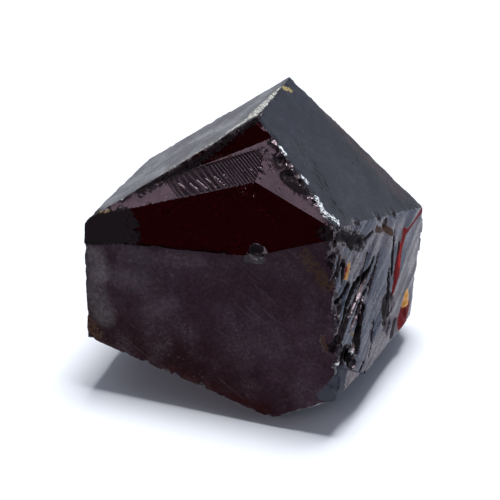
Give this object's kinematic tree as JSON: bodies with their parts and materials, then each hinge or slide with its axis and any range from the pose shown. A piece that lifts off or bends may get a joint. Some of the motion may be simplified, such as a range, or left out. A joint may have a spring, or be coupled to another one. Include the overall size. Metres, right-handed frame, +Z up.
{
  "type": "ruby crystal",
  "caption": "Rough ruby crystal: a broken, almost opaque dark red block with flat growth faces, a glassy fracture and a ledged broken side.",
  "frame": {"origin": "under the middle of the block's box, on the plane that it rests on", "axes": "+Z up, front (the frosted face and the glassy fracture) towards -Y, the ledged broken side towards +X"},
  "size_m": [0.032, 0.0232, 0.0283],
  "materials": {
    "ruby": "gloss"
  },
  "bodies": {
    "root": {"crystal": "ruby"}
  },
  "joints": []
}
